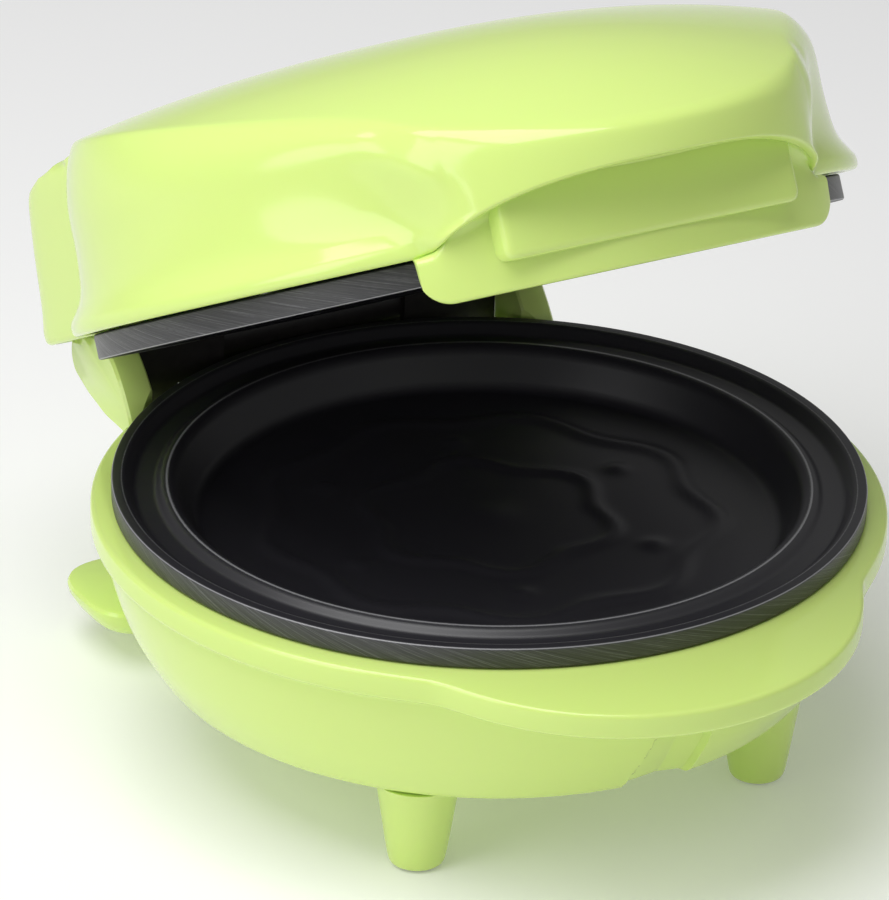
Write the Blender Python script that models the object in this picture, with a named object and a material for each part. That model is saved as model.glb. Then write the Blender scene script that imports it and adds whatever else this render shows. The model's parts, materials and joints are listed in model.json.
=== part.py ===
"""Mini cake maker: a round lime kitchen appliance with two non-stick plates and a hinged lid.

Every size is in metres.  The base is modelled about the centre of the lower plate, with z = 0 on the
plane where the two plates meet.  The lid is modelled shut in the same way and then turned about its hinge.
The front (lip and finger recess) faces -Y and the hinge is at +Y.
"""
import math

import bmesh
import bpy
from mathutils import Matrix, Vector

MM = 0.001
GAP = 0.3 * MM

# ---- driving dimensions -------------------------------------------------------------------------
PLATE_Y = -2.8 * MM            # plate centre, so that the whole object is centred on the origin
RIM_Z = 64.2 * MM              # plate parting plane above the table
PLATE_R = 85.0 * MM
PLATE_RIM_H = 4.9 * MM         # lower plate's rim above the base flange
UPPER_RIM_H = 5.7 * MM
RIM_GAP = 0.5 * MM             # between the two rims when the lid is shut
HINGE_Y = 92.0 * MM
HINGE_Z = 2.0 * MM
LID_OPEN = math.radians(28)    # lid's angle at rest

WALL = 2.4 * MM
FLANGE_R = 89.7 * MM
FLANGE_TOP = -5.2 * MM
LIP_REACH = 17.9 * MM          # how far the front lip stands out of the flange circle
LIP_ANGLE = math.radians(36)   # half the arc that the lip covers
BASE_BOTTOM = -42.5 * MM
BASE_BOTTOM_R = 74.5 * MM
NOTCH_HALF = 7.0 * MM          # small recess low in the front wall
NOTCH_DEPTH = 3.2 * MM

STAND_TOP = -49.0 * MM         # plate under the rear
STAND_HALF = 66.0 * MM
STAND_FRONT_Y = 59.0 * MM
STAND_REAR_Y = 90.0 * MM

FOOT_X = 43.9 * MM
FOOT_Y = 48.0 * MM
FOOT_TOP_R = 9.5 * MM
FOOT_END_R = 6.6 * MM
FOOT_END = -63.8 * MM

LID_TOP = 56.0 * MM            # crown of the lid above the parting plane
LID_CREASE_R = 80.5 * MM       # edge of the crowned top panel, seen from above
LID_NOSE = 25.0 * MM           # how far the panel's front stands out of that circle
NOSE_ANGLE = math.radians(43.7)
NOSE_FADE = math.radians(20)   # arc over which the nose blends back into the round side
CREASE_REAR_Z = 49.5 * MM
CREASE_DROP = 23.5 * MM        # the panel's edge is this much lower at the front
CREASE_SPREAD = math.radians(56)
LID_REAR_Y = 66.0 * MM         # rear edge of the top panel, where the chamfer starts
LID_BEAD_R = 89.6 * MM
LID_BOTTOM = 6.6 * MM
EAVE_Z = 17.3 * MM             # lower edge of the eave over the finger recess
EAVE_DROP = 7.7 * MM           # how much lower it is towards its ends
EAVE_END = math.radians(28.7)
SKIRT_R = 91.6 * MM
SKIRT_BOTTOM = -4.0 * MM
SKIRT_ANGLE = math.radians(33.2)
BLOCK_HALF = 63.5 * MM         # rear block of the lid, over the hinge
BLOCK_Y = 102.6 * MM
BLOCK_TOP_Y = 95.0 * MM
BLOCK_TOP_Z = 41.1 * MM
OUTER_POWER = 22               # how square the block's corners are, outside and inside
INNER_POWER = 60

EAR_OUT = 56.4 * MM            # hinge ears of the base
EAR_IN = 48.8 * MM
EAR_R = 7.6 * MM
KNUCKLE_IN = 38.0 * MM         # hinge knuckles of the lid
KNUCKLE_R = 7.0 * MM
PIN_R = 2.5 * MM
PIN_SKIN = 1.5 * MM            # closed skin that each ear keeps over the pin's end
GUARD_R = 6.7 * MM             # black guard round the hinge lead, between the knuckles
GUARD_T = 1.4 * MM
GUARD_HALF = 37.0 * MM
GUARD_START, GUARD_END = 120, 228  # degrees about the hinge axis, 180 towards the front
GUARD_WING_Z = 6.5 * MM        # top of the flat wings that hide the knuckles
GUARD_WING_LOW = -12.0 * MM    # their lower end, outside the flange

CAVITY_R = 71.0 * MM
CAVITY_FLOOR_R = 66.0 * MM
CAVITY_DEPTH = 10.5 * MM
PLATE_UNDER = 13.5 * MM        # flat back of a plate, measured from the parting plane
POST_R = 4.6 * MM
POST_RING = 60.0 * MM
POST_END = 26.7 * MM
BOSS_R = 6.0 * MM
BOSS_END = 20.2 * MM
ELEMENT_RING = 48.0 * MM
ELEMENT_TUBE = 3.2 * MM
ELEMENT_MID = PLATE_UNDER + GAP + ELEMENT_TUBE
CLAMP_TOP = 20.5 * MM
CLAMP_T = 1.5 * MM
SHIELD_TOP = POST_END + GAP
SHIELD_T = 0.8 * MM
SHIELD_R = 68.0 * MM
LUG_TOP = SHIELD_TOP + SHIELD_T + GAP
LUG_T = 2.5 * MM
COVER_R = 71.8 * MM
COVER_TOP = -40.1 * MM
COVER_UNDER = -43.1 * MM
COVER_LUG_RING = 62.5 * MM
LEDGE_SCREW_RING = 78.4 * MM
POST_ANGLES = [math.radians(a) for a in (90, 210, 330)]
COVER_SCREW_ANGLES = [math.radians(a) for a in (30, 150, 270)]
SCREW_R = 1.9 * MM
HOLE_R = 2.2 * MM
LEAD_R = 2.2 * MM

FINE = math.radians(8)         # angle between the lengthwise edges of the two shells


# ---- scene, materials and helpers ---------------------------------------------------------------
def clear_scene():
    for obj in list(bpy.data.objects):
        bpy.data.objects.remove(obj, do_unlink=True)


def material(name, colour, roughness, metallic=0.0):
    found = bpy.data.materials.get(name)
    if found:
        return found
    made = bpy.data.materials.new(name)
    made.use_nodes = True
    shader = made.node_tree.nodes["Principled BSDF"]
    shader.inputs["Base Color"].default_value = (*colour, 1.0)
    shader.inputs["Roughness"].default_value = roughness
    shader.inputs["Metallic"].default_value = metallic
    made.diffuse_color = (*colour, 1.0)
    return made


MATERIALS = {
    "lime": ((0.62, 0.86, 0.26), 0.16, 0.0),
    "coating": ((0.022, 0.021, 0.026), 0.42, 0.2),
    "steel": ((0.56, 0.57, 0.58), 0.3, 1.0),
    "aluminium": ((0.72, 0.73, 0.74), 0.38, 1.0),
    "sheath": ((0.18, 0.17, 0.16), 0.5, 0.8),
    "rubber": ((0.03, 0.03, 0.032), 0.8, 0.0),
    "ceramic": ((0.82, 0.8, 0.74), 0.5, 0.0),
    "bakelite": ((0.05, 0.03, 0.025), 0.4, 0.0),
    "sleeve": ((0.75, 0.74, 0.7), 0.7, 0.0),
}


def add_object(name, bm, finish, parent):
    bmesh.ops.recalc_face_normals(bm, faces=bm.faces)
    mesh = bpy.data.meshes.new(name)
    bm.to_mesh(mesh)
    bm.free()
    obj = bpy.data.objects.new(name, mesh)
    bpy.context.scene.collection.objects.link(obj)
    if finish:
        colour, roughness, metallic = MATERIALS[finish]
        mesh.materials.append(material(name, colour, roughness, metallic))
        mesh.shade_smooth()
        mesh.set_sharp_from_angle(angle=math.radians(32))
    else:
        obj.hide_render = True
        obj.display_type = "WIRE"
    if parent:
        obj.parent = parent
        if parent.name == "lid_hinge":
            obj.location = (0.0, -HINGE_Y, -HINGE_Z)
    return obj


def bridge(bm, low, high):
    """Joins two rings of vertices; a ring of one vertex is a pole."""
    count = max(len(low), len(high))
    for i in range(count):
        j = (i + 1) % count
        if len(low) == 1:
            bm.faces.new((low[0], high[i], high[j]))
        elif len(high) == 1:
            bm.faces.new((low[i], low[j], high[0]))
        else:
            bm.faces.new((low[i], low[j], high[j], high[i]))


def loft(rings, closed):
    """A skin over rings of points; closed joins the last ring to the first, otherwise both are poles."""
    bm = bmesh.new()
    verts = [[bm.verts.new(p) for p in ring] for ring in rings]
    for low, high in zip(verts, verts[1:]):
        bridge(bm, low, high)
    if closed:
        bridge(bm, verts[-1], verts[0])
    return bm


def lathe(profile, segments, closed=False):
    """Turns (radius, z) points about Z.  A radius of zero is a pole."""
    rings = []
    for radius, z in profile:
        if radius == 0:
            rings.append([Vector((0, 0, z))])
        else:
            turn = [2 * math.pi * i / segments for i in range(segments)]
            rings.append([Vector((radius * math.cos(a), radius * math.sin(a), z)) for a in turn])
    return loft(rings, closed)


def prism(outline, low, high, axis="Z"):
    """A straight prism over a flat outline, along one axis."""
    bm = bmesh.new()
    place = {
        "X": lambda u, v, w: (w, u, v),
        "Z": lambda u, v, w: (u, v, w),
    }[axis]
    rings = [[bm.verts.new(place(u, v, w)) for u, v in outline] for w in (low, high)]
    bridge(bm, *rings)
    for ring in rings:
        bm.faces.new(ring)
    return bm


def arc(centre, radius, start, end, steps):
    """Points of an arc in degrees."""
    angles = [math.radians(start + (end - start) * i / steps) for i in range(steps + 1)]
    return [(centre[0] + radius * math.cos(a), centre[1] + radius * math.sin(a)) for a in angles]


def rounded_box(half_u, half_v, radius, centre=(0.0, 0.0), steps=3):
    points = []
    for k, (su, sv) in enumerate(((1, 1), (-1, 1), (-1, -1), (1, -1))):
        corner = (centre[0] + su * (half_u - radius), centre[1] + sv * (half_v - radius))
        points += arc(corner, radius, 90 * k, 90 * k + 90, steps)
    return points


def boolean(target, tool, operation):
    step = target.modifiers.new(operation.lower(), "BOOLEAN")
    step.operation = operation
    step.solver = "EXACT"
    step.object = tool


def cut(target, bm, parent):
    boolean(target, add_object(target.name + "_cutter", bm, None, parent), "DIFFERENCE")


def join(target, bm, parent):
    boolean(target, add_object(target.name + "_blank", bm, None, parent), "UNION")


def cylinder(radius, low, high, segments=20, centre=(0.0, 0.0)):
    bm = lathe([(0, low), (radius, low), (radius, high), (0, high)], segments)
    bmesh.ops.translate(bm, vec=(*centre, 0), verts=bm.verts)
    return bm


def merge(*parts):
    """Puts several loose closed meshes into one, for a cutter or a joined blank."""
    whole = bmesh.new()
    for part in parts:
        mesh = bpy.data.meshes.new("part")
        part.to_mesh(mesh)
        part.free()
        whole.from_mesh(mesh)
        bpy.data.meshes.remove(mesh)
    return whole


def around(radius, angle):
    return (radius * math.cos(angle), radius * math.sin(angle))


def tube(name, route, radius, finish, parent, smooth_steps=6, resolution=1):
    """A round bar through the route's points, as a curve with filled ends."""
    points = [Vector(p) for p in route]
    ends = [2 * points[0] - points[1]] + points + [2 * points[-1] - points[-2]]
    path = []
    for a, b, c, d in zip(ends, ends[1:], ends[2:], ends[3:]):
        for i in range(smooth_steps):
            t = i / smooth_steps
            path.append(0.5 * (2 * b + (c - a) * t + (2 * a - 5 * b + 4 * c - d) * t ** 2
                               + (3 * b - a - 3 * c + d) * t ** 3))
    path.append(points[-1])
    curve = bpy.data.curves.new(name, "CURVE")
    curve.dimensions = "3D"
    curve.bevel_depth = radius
    curve.bevel_resolution = resolution
    curve.use_fill_caps = True
    spline = curve.splines.new("POLY")
    spline.points.add(len(path) - 1)
    for point, place in zip(spline.points, path):
        point.co = (*place, 1.0)
    curve.materials.append(material(name, *MATERIALS[finish]))
    obj = bpy.data.objects.new(name, curve)
    bpy.context.scene.collection.objects.link(obj)
    obj.parent = parent
    if parent.name == "lid_hinge":
        obj.location = (0.0, -HINGE_Y, -HINGE_Z)
    return obj


# ---- outlines shared by the shells --------------------------------------------------------------
def shell_angles(extra_degrees):
    """Angles from the front (-Y), even all round with extra ones where the outline turns quickly."""
    even = [math.radians(-180) + FINE * i for i in range(round(2 * math.pi / FINE))]
    extra = [math.radians(sign * a) for a in extra_degrees for sign in (-1, 1)]
    return sorted(set(round(a, 6) for a in even + extra))


def at(psi, radius, z):
    return Vector((radius * math.sin(psi), -radius * math.cos(psi), z))


def smooth(edge0, edge1, value):
    t = min(1.0, max(0.0, (value - edge0) / (edge1 - edge0)))
    return t * t * (3 - 2 * t)


def mix(a, b, t):
    return a + (b - a) * t


def box_radius(psi, half_width, rear_y, power):
    """Radius of a round-cornered rear block of a given half width that reaches rear_y."""
    if math.cos(psi) > -0.3:
        return 0.0
    across = abs(math.sin(psi)) / half_width
    along = abs(math.cos(psi)) / rear_y
    return (across ** power + along ** power) ** (-1 / power)


def lip(psi):
    """How much of the lip's reach the outline has at an angle from the front."""
    return max(0.0, 1 - (psi / LIP_ANGLE) ** 2)


# ---- base ---------------------------------------------------------------------------------------
def base_housing(base):
    angles = shell_angles((4.2, 5.6, 28, 33, 35, 37))
    levels = []
    for psi in angles:
        edge = FLANGE_R + LIP_REACH * lip(psi)
        sag = 1.6 * MM * lip(psi)
        side = abs(math.sin(psi)) * BASE_BOTTOM_R
        dent = NOTCH_DEPTH * (1 - smooth(NOTCH_HALF - 1 * MM, NOTCH_HALF, side)) * (math.cos(psi) > 0)
        levels.append([
            (81.0 * MM, FLANGE_TOP),
            (edge - 4.0 * MM, FLANGE_TOP - 0.4 * sag),
            (edge - 1.1 * MM, FLANGE_TOP - 0.5 * MM - sag),
            (edge, FLANGE_TOP - 2.2 * MM - sag),
            (edge - 0.2 * MM, FLANGE_TOP - 5.2 * MM - sag),
            (edge - 1.4 * MM, FLANGE_TOP - 6.6 * MM - sag),
            (87.4 * MM, FLANGE_TOP - 8.4 * MM - 0.6 * sag),
            (85.4 * MM - 0.3 * dent, -22.0 * MM),
            (84.2 * MM - 0.8 * dent, -26.0 * MM),
            (81.0 * MM - dent, -33.0 * MM),
            (77.0 * MM - dent, -39.2 * MM),
            (BASE_BOTTOM_R - dent, BASE_BOTTOM),
            (BASE_BOTTOM_R - WALL - dent, BASE_BOTTOM),
            (78.5 * MM - dent, -32.0 * MM),
            (83.0 * MM - 0.3 * dent, -21.0 * MM),
            (84.8 * MM, FLANGE_TOP - WALL),
            (81.0 * MM, FLANGE_TOP - WALL),
        ])
    rings = [[at(psi, *level[k]) for psi, level in zip(angles, levels)] for k in range(len(levels[0]))]
    housing = add_object("base_housing", loft(rings, closed=True), "lime", base)

    ears = []
    profile = arc((HINGE_Y, HINGE_Z), EAR_R, -55, 90, 9)
    profile += [(y * MM, z * MM) for y, z in ((81, 10.5), (75, 7), (70, 2), (66, -4), (64, -7.0), (80, -7.0))]
    profile += [(88 * MM, HINGE_Z - EAR_R + 1.0 * MM)]
    for side in (-1, 1):
        ears.append(prism(profile, side * EAR_IN, side * EAR_OUT, "X"))
    join(housing, merge(*ears), base)
    cut(housing, cylinder(PLATE_R + 1.6 * MM, FLANGE_TOP, 30 * MM, 48), base)

    lugs = [lug(a, POST_RING - 6 * MM, 80.6 * MM, -LUG_TOP - LUG_T, -LUG_TOP) for a in POST_ANGLES]
    for a in COVER_SCREW_ANGLES:
        lugs.append(lug(a, COVER_LUG_RING - 6 * MM, 74.6 * MM, COVER_TOP + GAP, -34.4 * MM))
    join(housing, merge(*lugs), base)

    holes = [cylinder(HOLE_R, -34 * MM, -26 * MM, 12, around(POST_RING, a)) for a in POST_ANGLES]
    holes += [cylinder(HOLE_R, -42 * MM, -33 * MM, 12, around(COVER_LUG_RING, a))
              for a in COVER_SCREW_ANGLES]
    holes.append(axis_pin(PIN_R + GAP, PIN_SKIN - EAR_OUT, EAR_OUT - PIN_SKIN))
    holes.append(bush_solid([(0, -8), (5.3, -8), (5.3, 8), (0, 8)]))
    lead_hole = cylinder(LEAD_R + 0.6 * MM, 76 * MM, 98 * MM, 12)
    lead_hole.transform(Matrix.Translation((-14 * MM, 0, -13.2 * MM)) @ Matrix.Rotation(-math.pi / 2, 4, "X"))
    holes.append(lead_hole)
    cut(housing, merge(*holes), base)
    return housing


def lug(angle, near, far, low, high):
    """A flat screw lug that grows from the shell's wall towards the middle."""
    outline = arc((near + 6 * MM, 0), 6 * MM, 90, 270, 6) + [(far, -6 * MM), (far, 6 * MM)]
    bm = prism(outline, low, high)
    bm.transform(Matrix.Rotation(angle, 4, "Z"))
    return bm


def axis_pin(radius, low, high):
    """A cylinder on the hinge axis, in plate coordinates."""
    bm = cylinder(radius, low, high, 20)
    bm.transform(Matrix.Translation((0, HINGE_Y, HINGE_Z)) @ Matrix.Rotation(math.pi / 2, 4, "Y"))
    return bm


BUSH_ANGLE = math.radians(62)
BUSH_R = 82.9 * MM
BUSH_Z = -25.0 * MM
WALL_TILT = math.radians(17)


def bush_solid(profile_mm):
    """A turned piece square to the tapered rear wall, where the mains lead would enter."""
    bm = lathe([(r * MM, z * MM) for r, z in profile_mm], 20)
    aim = Matrix.Rotation(BUSH_ANGLE, 4, "Z") @ Matrix.Rotation(math.pi / 2 + WALL_TILT, 4, "Y")
    bm.transform(Matrix.Translation((*around(BUSH_R, BUSH_ANGLE), BUSH_Z)) @ aim)
    return bm


def cord_bush(base):
    """Rubber grommet with a groove that grips the wall and a bore for the lead."""
    profile = [(7.2, 2.9), (6.4, 5.4), (3.4, 6.0), (3.4, -5.6), (5.8, -5.2), (6.4, -3.3),
               (4.9, -3.1), (4.9, 2.7)]
    rings = [(r * MM, z * MM) for r, z in profile]
    bm = lathe(rings, 20, closed=True)
    aim = Matrix.Rotation(BUSH_ANGLE, 4, "Z") @ Matrix.Rotation(math.pi / 2 + WALL_TILT, 4, "Y")
    bm.transform(Matrix.Translation((*around(BUSH_R, BUSH_ANGLE), BUSH_Z)) @ aim)
    add_object("cord_bush", bm, "rubber", base)


def bottom_cover(base):
    plate = add_object("bottom_cover", lathe([
        (0, COVER_TOP), (COVER_R - 0.8 * MM, COVER_TOP), (COVER_R, COVER_TOP - 0.8 * MM),
        (COVER_R, COVER_UNDER), (0, COVER_UNDER)], 40), "lime", base)
    feet = []
    for x, y in foot_places():
        bm = lathe([(0, BASE_BOTTOM - GAP), (FOOT_TOP_R, BASE_BOTTOM - GAP),
                    (FOOT_END_R, FOOT_END + 1.6 * MM), (FOOT_END_R - 0.7 * MM, FOOT_END + 0.4 * MM),
                    (FOOT_END_R - 1.4 * MM, FOOT_END),
                    (4.6 * MM, FOOT_END), (4.6 * MM, FOOT_END + 1.2 * MM), (0, FOOT_END + 1.2 * MM)], 16)
        bmesh.ops.translate(bm, vec=(x, y, 0), verts=bm.verts)
        feet.append(bm)
    join(plate, merge(*feet), base)
    holes = [cylinder(HOLE_R, -50 * MM, -36 * MM, 12, around(COVER_LUG_RING, a)) for a in COVER_SCREW_ANGLES]
    notch = rounded_box(NOTCH_HALF + 2 * MM, 6 * MM, 1 * MM, (0, -74.4 * MM), 1)
    holes.append(prism(notch, -45 * MM, -38 * MM))
    cut(plate, merge(*holes), base)


def foot_places():
    return [(sx * FOOT_X, sy * FOOT_Y) for sy in (-1, 1) for sx in (-1, 1)]


def foot_pads(base):
    for number, (x, y) in enumerate(foot_places(), 1):
        bm = cylinder(4.3 * MM, -RIM_Z, FOOT_END + 0.9 * MM, 16, (x, y))
        add_object(f"foot_pad_{number}", bm, "rubber", base)


def rear_stand(base):
    """Moulded plate under the rear: the lead winds round its two necks, and it props the stored appliance."""
    top, low = STAND_TOP, STAND_TOP - 8 * MM
    middle = 0.5 * (STAND_FRONT_Y + STAND_REAR_Y)
    outline = rounded_box(STAND_HALF, 0.5 * (STAND_REAR_Y - STAND_FRONT_Y), 11 * MM, (0, middle), 5)
    bm = bmesh.new()
    rings = []
    for z, inset in ((low, 4.5 * MM), (low + 2 * MM, 2.0 * MM), (top - 2.0 * MM, 0.0), (top, 0.8 * MM)):
        wide = 1 - inset / STAND_HALF
        deep = 1 - 2 * inset / (STAND_REAR_Y - STAND_FRONT_Y)
        rings.append([bm.verts.new((x * wide, middle + (y - middle) * deep, z)) for x, y in outline])
    for low_ring, high_ring in zip(rings, rings[1:]):
        bridge(bm, low_ring, high_ring)
    bm.faces.new(rings[0])
    bm.faces.new(rings[-1])
    stand = add_object("rear_stand", bm, "lime", base)
    necks = [cylinder(7 * MM, top - 1 * MM, COVER_UNDER - GAP, 16, (s * 22 * MM, 64.5 * MM)) for s in (-1, 1)]
    join(stand, merge(*necks), base)


def turned(profile, turn_over):
    """Mirrors a lower-half profile to the lid when turn_over is set."""
    return [(r, -z) for r, z in profile] if turn_over else list(profile)


def baking_plate(name, rim_h, rim_drop, turn_over, parent):
    """Cast plate: rim, ledge, ridge, cavity, flat back with a centre boss and three posts."""
    profile = [
        (0, -CAVITY_DEPTH), (CAVITY_FLOOR_R, -CAVITY_DEPTH), (CAVITY_R - 0.9 * MM, -2.0 * MM),
        (CAVITY_R + 0.6 * MM, -0.9 * MM), (CAVITY_R + 2.8 * MM, -1.1 * MM), (CAVITY_R + 4.2 * MM, -2.7 * MM),
        (79.6 * MM, -2.9 * MM), (82.4 * MM, -rim_drop), (PLATE_R - 0.6 * MM, -rim_drop),
        (PLATE_R, -0.6 * MM - rim_drop),
        (PLATE_R, -rim_h), (73.8 * MM, -rim_h - 0.2 * MM),
        (72.6 * MM, -PLATE_UNDER + 2 * MM), (70.6 * MM, -PLATE_UNDER), (0, -PLATE_UNDER),
    ]
    plate = add_object(name, lathe(turned(profile, turn_over), 48), "coating", parent)
    blanks = [(BOSS_R, BOSS_END, (0.0, 0.0))] + [(POST_R, POST_END, around(POST_RING, a)) for a in POST_ANGLES]
    sign = 1 if turn_over else -1
    posts = []
    holes = []
    for radius, end, centre in blanks:
        posts.append(cylinder(radius, *sorted((sign * 12 * MM, sign * end)), 12, centre))
        holes.append(cylinder(HOLE_R, *sorted((sign * 15 * MM, sign * 34 * MM)), 10, centre))
    join(plate, merge(*posts), parent)
    if turn_over:
        for a in POST_ANGLES:
            place = around(LEDGE_SCREW_RING, a)
            bm = lathe([(0, -2 * MM), (3.6 * MM, -2 * MM), (3.6 * MM, 3.2 * MM), (HOLE_R, 4.6 * MM),
                        (HOLE_R, 12 * MM), (0, 12 * MM)], 12)
            bmesh.ops.translate(bm, vec=(*place, 0), verts=bm.verts)
            holes.append(bm)
    cut(plate, merge(*holes), parent)


def heating_element(name, turn_over, parent):
    """Sheathed ring element with both ends turned away from the plate at the rear."""
    sign = 1 if turn_over else -1
    ends = math.radians(78)
    sweep = 2 * math.pi - math.radians(24)
    steps = 24
    ring = [(*around(ELEMENT_RING, ends - sweep * i / steps), sign * ELEMENT_MID) for i in range(steps + 1)]
    tail = sign * 33 * MM
    first = [(11.5 * MM, 47.6 * MM, tail), (11.4 * MM, 47.6 * MM, sign * 22 * MM)]
    last = [(-x, y, z) for x, y, z in reversed(first)]
    tube(name, first + ring[1:-1] + last, ELEMENT_TUBE, "sheath", parent, smooth_steps=1, resolution=1)


def element_clamp(name, turn_over, parent):
    sign = 1 if turn_over else -1
    low, high = sorted((sign * CLAMP_TOP, sign * (CLAMP_TOP + CLAMP_T)))
    bar = prism(rounded_box(54 * MM, 8 * MM, 5 * MM), low, high)
    clamp = add_object(name, bar, "steel", parent)
    cut(clamp, cylinder(HOLE_R, -30 * MM, 30 * MM, 16), parent)


def heat_shield(name, turn_over, parent):
    """Pressed aluminium dish behind the element."""
    top = SHIELD_TOP
    profile = [(0, -top), (SHIELD_R - 2 * MM, -top), (SHIELD_R, -top + 2 * MM),
               (SHIELD_R + 1.4 * MM, -top + 9 * MM),
               (SHIELD_R + 2.2 * MM, -top + 9 * MM), (SHIELD_R + 0.8 * MM, -top + 1.6 * MM),
               (SHIELD_R - 1.7 * MM, -top - SHIELD_T), (0, -top - SHIELD_T)]
    shield = add_object(name, lathe(turned(profile, turn_over), 32), "aluminium", parent)
    holes = [cylinder(HOLE_R, -40 * MM, 40 * MM, 8, around(POST_RING, a)) for a in POST_ANGLES]
    holes += [cylinder(5 * MM, -40 * MM, 40 * MM, 10, (s * 11.5 * MM, 47.6 * MM)) for s in (-1, 1)]
    cut(shield, merge(*holes), parent)


def pan_screw(name, place, seat, length, away, parent, radius=SCREW_R):
    """Pan-head screw whose head lies on the away side of its seat."""
    head = 3.7 * MM
    profile = [(0, seat + away * 2.3 * MM), (head - 0.9 * MM, seat + away * 2.2 * MM),
               (head, seat + away * 1.2 * MM), (head, seat), (radius, seat), (radius, seat - away * length),
               (0, seat - away * length)]
    bm = lathe(profile, 12)
    bmesh.ops.translate(bm, vec=(*place, 0), verts=bm.verts)
    add_object(name, bm, "steel", parent)


def thermostat(base):
    """Round snap-disc thermostat against the plate's back, with its two terminals."""
    top = -PLATE_UNDER - GAP
    can = add_object("thermostat", lathe([
        (0, top), (7.6 * MM, top), (8.0 * MM, top - 0.5 * MM), (8.0 * MM, top - 3.0 * MM),
        (9.2 * MM, top - 3.2 * MM), (9.2 * MM, top - 4.0 * MM), (7.0 * MM, top - 4.2 * MM),
        (6.8 * MM, top - 9.2 * MM), (0, top - 9.2 * MM)], 20),
        "bakelite", base)
    can.location = (-22 * MM, -21 * MM, 0)
    tabs = [prism(rounded_box(0.5 * MM, 2.2 * MM, 0.4 * MM, (-22 * MM + s * 4 * MM, -21 * MM), 1),
                  top - 12.6 * MM, top - 8.6 * MM) for s in (-1, 1)]
    join(can, merge(*tabs), base)


def thermal_fuse(base):
    top = -PLATE_UNDER - GAP
    half = [(2.7, 9), (2.4, 11), (1.0, 11.5), (1.0, 17), (0, 17)]
    profile = [(r, -z) for r, z in reversed(half)] + half
    bm = lathe([(r * MM, z * MM) for r, z in profile], 14)
    bm.transform(Matrix.Rotation(math.pi / 2, 4, "Y"))
    fuse = add_object("thermal_fuse", bm, "ceramic", base)
    fuse.location = (16 * MM, -24 * MM, top - 2.7 * MM)


def terminal_block(base):
    body = prism(rounded_box(15 * MM, 7 * MM, 1.2 * MM, (0, 30 * MM), 2), COVER_TOP + GAP, -31 * MM)
    block = add_object("terminal_block", body, "ceramic", base)
    wells = [cylinder(2.6 * MM, -35 * MM, -28 * MM, 12, (x * MM, 30 * MM)) for x in (-9, 0, 9)]
    cut(block, merge(*wells), base)


def base_lead(base):
    """Lower half of the sleeved lead that feeds the lid, as far as the hinge axis."""
    route = [(-8, 37.6, -36.5), (-11, 47, -36.5), (-14, 60, -35), (-14, 71, -27), (-14, 77, -16), (-14, 83, -13.6),
             (-14, 89, -12.6), (-14, 91.4, -8), (-13.4, 91.8, -2), (-9, 92, 2), (-0.4, 92, 2)]
    tube("base_lead", [tuple(v * MM for v in p) for p in route], LEAD_R, "sleeve", base, 3, 1)


def hinge_pins(base):
    for name, side in (("hinge_pin_left", -1), ("hinge_pin_right", 1)):
        ends = sorted((side * (KNUCKLE_IN + 1 * MM), side * (EAR_OUT - PIN_SKIN - GAP)))
        add_object(name, axis_pin(PIN_R, *ends), "steel", base)


def hinge_guard(base):
    """Curved strip that hides the lead, with flat wings before the knuckles and a foot on the flange."""
    outer = arc((HINGE_Y, HINGE_Z), GUARD_R, GUARD_START, GUARD_END, 9)
    inner = arc((HINGE_Y, HINGE_Z), GUARD_R - GUARD_T, GUARD_END, GUARD_START, 9)
    guard = add_object("hinge_guard", prism(outer + inner, -GUARD_HALF, GUARD_HALF, "X"), "bakelite", base)
    foot_end = FLANGE_TOP + GAP
    foot = [(86.3 * MM, foot_end), (88.1 * MM, foot_end), (88.1 * MM, -2.0 * MM), (86.3 * MM, -0.6 * MM)]
    blanks = [prism(foot, -25 * MM, 25 * MM, "X")]
    wings = ((85.9, foot_end, 24 * MM, GUARD_HALF - 0.5 * MM), (84.7, foot_end, 30 * MM, EAR_IN - 0.4 * MM),
             (84.7, GUARD_WING_LOW, 36 * MM, EAR_IN - 0.4 * MM))
    for rear, low, near, far in wings:
        wing = [(83.6 * MM, low), (rear * MM, low), (rear * MM, GUARD_WING_Z), (83.6 * MM, GUARD_WING_Z)]
        for side in (-1, 1):
            blanks.append(prism(wing, *sorted((side * near, side * far)), "X"))
    for blank in blanks:
        join(guard, blank, base)


# ---- lid ----------------------------------------------------------------------------------------
def bulge(psi):
    """How far the nose swells out of the round lid at an angle from the front."""
    swell = 1 - (min(abs(psi), SKIRT_ANGLE) / NOSE_ANGLE) ** 2
    fade = max(0.0, 1 - max(0.0, abs(psi) - SKIRT_ANGLE) / NOSE_FADE)
    return LID_NOSE * swell * fade ** 3


def crown_z(psi, radius):
    """Height of the crowned top surface, which falls most towards the front."""
    reach = LID_CREASE_R + LID_NOSE * math.exp(-(psi / math.radians(45)) ** 2)
    drop = LID_TOP - CREASE_REAR_Z + CREASE_DROP * math.exp(-(psi / CREASE_SPREAD) ** 2)
    return LID_TOP - drop * (radius / reach) ** 2.5


def crease(psi):
    """Edge of the crowned top panel: radius and height."""
    radius = LID_CREASE_R + bulge(psi)
    if math.cos(psi) < 0:
        across = (BLOCK_HALF - 1.4 * MM) / max(0.3, abs(math.sin(psi)))
        radius = min(max(radius, across), LID_REAR_Y / abs(math.cos(psi)))
    return radius, crown_z(psi, radius)


def chamfer_z(y):
    """Height of the sloping rear of the lid."""
    slope = (CREASE_REAR_Z - BLOCK_TOP_Z) / (BLOCK_TOP_Y - LID_REAR_Y)
    return CREASE_REAR_Z - slope * max(0.0, y - LID_REAR_Y)


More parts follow.
